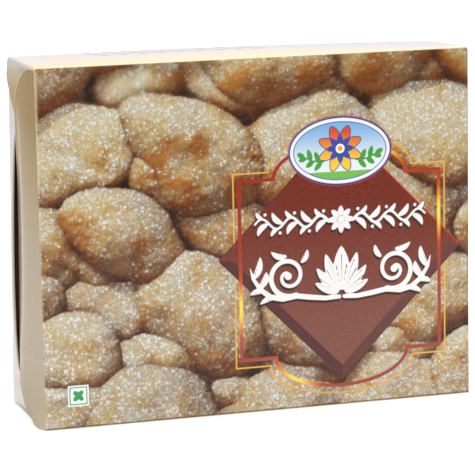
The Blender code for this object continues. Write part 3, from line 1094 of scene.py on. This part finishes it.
def make_narrow_print(name, stops, cooler):
    """White board tinted by its depth behind the front, and cooler towards its right end."""
    material, tree, inputs = new_material(name, roughness=0.38, coat=0.06)
    printed = stepped_colour(over(reading(tree, "from_front"), DEPTH), stops)
    printed = mixed(graded(place_along(tree, "X"), 0, 75, 0.0, cooler), printed, (208, 214, 228))
    printed = inked(printed, (104, 104, 120), reading(tree, "grey_band"), softness=0.2, strength=0.85)
    worn = worn_along(tree, "from_fold", reach=0.8, amount=0.3)
    feed(inputs["Base Color"], mixed(worn, printed, (252, 240, 212)))
    grained(tree, inputs, depth=0.08, fibre_size=0.6, wave_size=9.0)
    return material


narrow_halves = (LENGTH / 2, DEPTH / 2, HEIGHT / 2)
for name, axes, material in (
    ("top_print", ((1, 0, 0), (0, 1, 0), (0, 0, 1)),
     make_narrow_print("top_tint", cooler=0.4, stops=(
         (0.0, (236, 208, 164)), (0.08, (234, 214, 182)), (0.22, (224, 212, 196)),
         (0.50, (221, 212, 204)), (0.68, (214, 210, 210)), (1.0, (215, 214, 220)),
     ))),
    ("bottom_print", ((1, 0, 0), (0, -1, 0), (0, 0, -1)),
     make_narrow_print("bottom_tint", cooler=0.0, stops=(
         (0.0, (238, 214, 178)), (1.0, (216, 212, 210)),
     ))),
):
    narrow_panel, narrow_flat = panel(name, axes, narrow_halves, NARROW_CELLS, NARROW_STRIDE, [material])
    along, from_front = narrow_flat[:, 0], DEPTH / 2 + axes[1][1] * narrow_flat[:, 1]
    store(narrow_panel, {
        "from_front": from_front,
        "grey_band": grey_band(along, from_front) if name == "top_print" else np.full(len(along), FAR),
        "from_fold": (narrow_halves[:2] - np.abs(narrow_flat)).min(axis=1),
    })
    fit_to_carton(narrow_panel)

# The end flaps: at each end a wide closure flap with round shoulders, hinged on the front, lies over
# a dust flap hinged on the top, over a white flap hinged on the back. A gap stays open between the
# closure flap, whose free edge has been pushed in, and the cut-away edge of the white flap.
FLAP_THICKNESS = 0.45
FLAP_REACH = 32.5
SHOULDER_TOP = (30.5, 17.3)
SHOULDER_TOP_CENTRE = 109.0
SHOULDER_FOOT = (16.0, 14.0)
RIDGE_HEIGHT = 0.42
FAINT_CREASE_AT_FOLD = 24.2
FAINT_CREASE_FALL = 0.126
EDGE_PUSHED_IN = 0.88
PUSH_SPAN = (70.0, 64.0)
PUSH_FADE = (114.0, 30.0)
FOOT_BENT_OUT = 1.6
DUST_INSET = 0.5
DUST_LOW = (31.0, 103.8)
DUST_HIGH = (42.6, 112.8)
DUST_CORNER_GAP = 1.2
DUST_DENT = ((16.0, 124.2), (9.0, 1.8))
DUST_DENT_DEPTH = 0.6
DUST_BULGE = 1.15
DUST_BULGE_SPAN = (120.6, 5.0)
BACK_INSET = 1.0
SLIT_FOOT = 13.5
SLIT_HEIGHT = 87.0
SLIT_WIDTH = 8.1
HIDDEN_TUCK = 8.5
FOOT_TUCK = 10.0
EDGE_GAP = 0.04
END = LENGTH / 2 - 0.04


def opening(height):
    """How wide the gap stands at a height, as a share of its greatest width."""
    along = np.clip((height - SLIT_FOOT) / SLIT_HEIGHT, 0, 1) ** 0.85
    return np.sin(math.pi * along) ** 0.42


def closure_reach(height):
    """How far behind the front the closure flap's free edge lies at a height."""
    above = np.clip((height - SHOULDER_TOP_CENTRE) / SHOULDER_TOP[1], 0, 1)
    below = np.clip(1 - height / SHOULDER_FOOT[1], 0, 1)
    top = SHOULDER_TOP[0] * (1 - np.sqrt(1 - above ** 2))
    foot = SHOULDER_FOOT[0] * (1 - np.sqrt(1 - below ** 2))
    return FLAP_REACH - top - foot


def from_closure_cut(behind, reach, height):
    """Distance to the closure flap's cut edge, from the gaps to it backward, upward and downward."""
    backward = reach - behind + 0.01
    top = np.clip(1 - (FLAP_REACH - behind) / SHOULDER_TOP[0], 0, 1)
    foot = np.clip(1 - (FLAP_REACH - behind) / SHOULDER_FOOT[0], 0, 1)
    upward = SHOULDER_TOP_CENTRE + SHOULDER_TOP[1] * np.sqrt(1 - top ** 2) - height + 0.01
    downward = height - SHOULDER_FOOT[1] * (1 - np.sqrt(1 - foot ** 2)) + 0.01
    return 1 / np.sqrt(backward ** -2.0 + upward ** -2.0 + downward ** -2.0)


def slab(name, outer, side, materials, fields):
    """A flap as a closed slab, from its outer face as a grid of points, with raw board at its rim."""
    if side > 0:
        outer = outer[:, ::-1]
        fields = {label: values[:, ::-1] for label, values in fields.items()}
    rows, columns = outer.shape[:2]
    normals = np.cross(np.gradient(outer, axis=1), np.gradient(outer, axis=0))
    normals /= np.linalg.norm(normals, axis=2)[..., None]
    forward = normals[rows // 2, columns // 2, 0] * side > 0
    inner = outer - FLAP_THICKNESS * (normals if forward else -normals)
    points = np.concatenate((outer.reshape(-1, 3), inner.reshape(-1, 3)))
    points[:, 2] = np.maximum(points[:, 2], EDGE_GAP)
    under = rows * columns
    printed = quads(rows, columns)
    bare = quads(rows, columns, under, inward=True) + rim(border(rows, columns), under)
    faces = [face if forward else face[::-1] for face in printed + bare]
    piece = new_piece(name, points, faces, materials, [0] * len(printed) + [1] * len(bare))
    store(piece, {label: np.tile(values.ravel(), 2) for label, values in fields.items()})
    return piece


def settled_grid(side, outward, behind, height):
    """A grid of points on the settled carton, from distances outward, behind the front and up."""
    grid = np.stack(np.broadcast_arrays(side * outward, behind - DEPTH / 2, height), axis=-1)
    return settled(grid.reshape(-1, 3)).reshape(grid.shape)


# The second half of a right-angled fold, as shares of its radius across and along the panel
turns_of_fold = np.radians(np.linspace(45, 90, FOLD_STEPS + 1))
FOLD_ACROSS, FOLD_ALONG = np.sin(turns_of_fold), np.cos(turns_of_fold)


def hinged(reach, steps):
    """Each line of a flap, through its fold and then flat: how far outward, and how far from its hinge."""
    across = np.concatenate((FOLD_ACROSS, np.ones(steps)))
    turned = CREASE_RADIUS * (1 - FOLD_ALONG) + 0 * reach
    flat = CREASE_RADIUS + (reach - CREASE_RADIUS) * np.linspace(0, 1, steps + 1)[1:]
    return END - CREASE_RADIUS * (1 - across) + 0 * reach, np.hstack((turned, flat))


def ease(share):
    share = np.clip(share, 0, 1)
    return share * share * (3 - 2 * share)


def closure_flap(side, bent_out):
    """Outer face of the closure flap as rows of rising height and columns away from its fold.

    It stands out to a ridge near its free edge, and past the ridge the edge has been pushed in.
    Its foot may be bent out a little."""
    foot = SHOULDER_FOOT[1] * (1 - np.cos(np.linspace(0, math.pi / 2, 13)))
    middle = np.linspace(SHOULDER_FOOT[1], SHOULDER_TOP_CENTRE, 49)[1:-1]
    top = SHOULDER_TOP_CENTRE + SHOULDER_TOP[1] * np.sin(np.linspace(0, math.pi / 2, 19))
    height = np.maximum(np.concatenate((foot, middle, top)), EDGE_GAP)[:, None]
    up, reach = height / HEIGHT, closure_reach(height)
    outward, behind = hinged(reach, 28)
    share, ridge = behind / FLAP_REACH, 0.92 - 0.20 * swell((up - 0.54) / 0.36)
    from_ridge = share - ridge
    stands = 0.35 * ease(share / 0.6) + 0.65 * ease((from_ridge + 0.22) / 0.22)
    outward += RIDGE_HEIGHT * swell(2 * up - 0.9) * stands
    past = np.clip(from_ridge / (1 - ridge), 0, 1)
    pushed_in = EDGE_PUSHED_IN * swell((height - PUSH_SPAN[0]) / PUSH_SPAN[1])
    outward -= pushed_in * np.clip((PUSH_FADE[0] - height) / PUSH_FADE[1], 0, 1) * past ** 1.5
    outward += bent_out * ease(behind / 4) * ease((20 - behind) / 12) * ease((10 - height) / 10)
    # Masks for painted light: a painted highlight along the ridge, and painted shade over the pushed-in
    # edge past it.
    from_crest = from_ridge + 0.02
    before = 0.5 * np.exp(-(from_crest / 0.055) ** 2) + 0.5 * np.exp(from_crest / 0.13)
    ridge_highlight = np.where(from_crest > 0, np.exp(-(from_crest / 0.05) ** 2), before)
    return settled_grid(side, outward, behind, height), {
        "from_cut": from_closure_cut(behind, reach, height),
        "curl_shade": past * ease((height - 16) / 22) * ease((98 - height) / 20),
        "ridge": ridge_highlight * ease((116 - height) / 14) * ease((height - 8) / 12),
        "share": share,
        "crease": height - FAINT_CREASE_AT_FOLD + FAINT_CREASE_FALL * behind,
    }


def dust_flap(side, bulge):
    """Outer face of the dust flap as rows of falling height and columns of rising depth.

    It bulges beside the back corner, and has a shallow dent near the front one."""
    flat_part = np.linspace(DUST_CORNER_GAP, DUST_LOW[0], 18)[:-1]
    behind = np.concatenate((flat_part, np.linspace(DUST_LOW[0], DUST_HIGH[0], 19)))
    low = np.interp(behind, *zip(DUST_LOW, DUST_HIGH))
    outward, fallen = (grid.T for grid in hinged(HEIGHT - low[:, None], 24))
    height, past_fold = HEIGHT - fallen, fallen > CREASE_RADIUS
    off_bulge = (height - DUST_BULGE_SPAN[0]) / DUST_BULGE_SPAN[1]
    swollen = bulge * (behind / DEPTH) ** 3 * np.exp(-off_bulge ** 2)
    off_dent = [(line - middle) / half for line, middle, half in zip((behind, height), *DUST_DENT)]
    dent = past_fold * np.exp(-off_dent[0] ** 2 - off_dent[1] ** 2)
    outward = outward - DUST_INSET * ease((fallen - CREASE_RADIUS) / 4.0)
    outward += past_fold * swollen - DUST_DENT_DEPTH * dent
    return settled_grid(side, outward, behind, height), {"from_cut": height - low, "dent": dent}


def back_flap(side, gap_share):
    """Outer face of the white flap as rows of rising height and columns forward from its fold."""
    height = np.unique(np.concatenate((
        np.linspace(2 * EDGE_GAP, HEIGHT - 2 * EDGE_GAP, 60),
        SLIT_FOOT + SLIT_HEIGHT * (1 - np.cos(np.linspace(0, math.pi, 41))) / 2,
    )))[:, None]
    above_slit = height - SLIT_FOOT - SLIT_HEIGHT
    tucked = np.clip(np.maximum(SLIT_FOOT - height, above_slit) / 4.0, 0, 1)
    free = FLAP_REACH + SLIT_WIDTH * gap_share * opening(height) - HIDDEN_TUCK * tucked
    free -= FOOT_TUCK * ease(1 - height / FOOT_TUCK)
    outward, forward = hinged(DEPTH - free, 14)
    inward = forward - CREASE_RADIUS
    start, run = np.where(above_slit > 0, 0.3, 2.5), np.where(above_slit > 0, 2.0, 4.0)
    inset = 0.35 * ease(inward / 1.5) + 0.65 * tucked * ease((inward - start) / run)
    outward -= BACK_INSET * inset
    return settled_grid(side, outward, DEPTH - forward, height), {"from_cut": DEPTH - forward - free}


def make_flap_print(name, stops, fibre_tone, shine, finish):
    """Plain tinted board whose tint changes with height, partly as painted light, worn pale along its cut
    edge.
    """
    material, tree, inputs = new_material(name, roughness=0.5, shine=shine)
    up, from_cut = place_along(tree, "Z"), reading(tree, "from_cut")
    tint = stepped_colour(over(up, HEIGHT), stops)
    if finish == "pushed_in":
        tint = mixed(times(graded(reading(tree, "share"), 0.15, 0.85), 0.18), tint, (206, 190, 170))
        # Painted highlight: a pale line along the closure flap's ridge.
        tint = mixed(times(reading(tree, "ridge"), 0.75), tint, (232, 218, 204))
    fibre = grained(tree, inputs, depth=0.12, fibre_size=0.7, wave_size=10.0)
    tint = mixed(graded(fibre, 0.35, 0.7, 0.0, 0.35), tint, fibre_tone)
    tint = mixed(worn_along(tree, "from_cut", reach=0.6, amount=0.16), tint, (240, 230, 208))
    if finish == "pushed_in":
        lit_rim = times(graded(from_cut, 0.5, 0.25), graded(up, 98, 112, 0.1, 0.75))
        tint = mixed(lit_rim, tint, (242, 232, 212))
        # Painted shade: past the ridge the pushed-in edge darkens to brown and near black, as it turns
        # away from the light.
        curl_shade = reading(tree, "curl_shade")
        tint = mixed(graded(curl_shade, 0.0, 0.36), tint, (140, 114, 80))
        tint = mixed(graded(curl_shade, 0.36, 1.0), tint, (64, 47, 28))
        crease = band(reading(tree, "crease"), 0.0, 0.1)
        tint = inked(tint, (232, 224, 212), crease, softness=0.4, strength=0.34)
    elif finish == "dented":
        tint = mixed(graded(from_cut, 3.0, 0.0, 0.0, 0.6), tint, (208, 196, 178))
        # Painted shade: grey in the dust flap's dent, as if its hollow lay in shadow.
        tint = mixed(times(reading(tree, "dent"), 0.6), tint, (158, 156, 158))
    elif finish == "shaded_edge":
        tint = mixed(graded(from_cut, 2.2, 0.2, 0.0, 0.45), tint, (150, 138, 118))
    feed(inputs["Base Color"], tint)
    return material


def make_cut_board():
    material, tree, inputs = new_material("cut_board", roughness=0.8)
    fibre = grained(tree, inputs, depth=0.05, fibre_size=0.3, wave_size=6.0, wave_share=0.3)
    feed(inputs["Base Color"], mixed(graded(fibre, 0.35, 0.65), (222, 208, 184), (196, 178, 150)))
    return material


cut_board = make_cut_board()
# Gold above, and lighter and greyer towards the foot, partly painted light from the table below; the
# bright stop at the foot is painted light that lifts the shade beside the table.
closure_tint = make_flap_print("closure_tint", (
    (0.00, (214, 198, 168)),
    (0.07, (200, 187, 160)),
    (0.25, (199, 186, 169)),
    (0.50, (196, 181, 156)),
    (0.72, (183, 160, 119)),
    (0.85, (169, 138, 88)),
    (1.00, (170, 138, 88)),
), fibre_tone=(184, 160, 120), shine=0.04, finish="pushed_in")
# The tan turns light grey towards the top fold: painted light, where the fold turns up to the lamps above.
dust_tint = make_flap_print("dust_tint", (
    (0.86, (184, 152, 98)),
    (0.92, (194, 170, 126)),
    (0.96, (210, 196, 172)),
    (1.00, (234, 228, 224)),
), fibre_tone=(190, 168, 132), shine=0.04, finish="dented")
# The bright stop at the foot is painted light that lifts the shade beside the table.
white_board = make_flap_print("white_board", (
    (0.00, (255, 250, 242)),
    (0.06, (240, 232, 224)),
    (1.00, (232, 231, 238)),
), fibre_tone=(230, 226, 224), shine=0.30, finish="shaded_edge")
for label, side, gap_share, bulge, bent_out in (
    ("left", -1, 1.0, DUST_BULGE, FOOT_BENT_OUT),
    ("right", 1, 0.6, 0.0, 0.0),
):
    for kind, (face, edges), tint in (
        ("closure_flap", closure_flap(side, bent_out), closure_tint),
        ("dust_flap", dust_flap(side, bulge), dust_tint),
        ("back_flap", back_flap(side, gap_share), white_board),
    ):
        fit_to_carton(slab(f"{label}_{kind}", face, side, [tint, cut_board], edges))
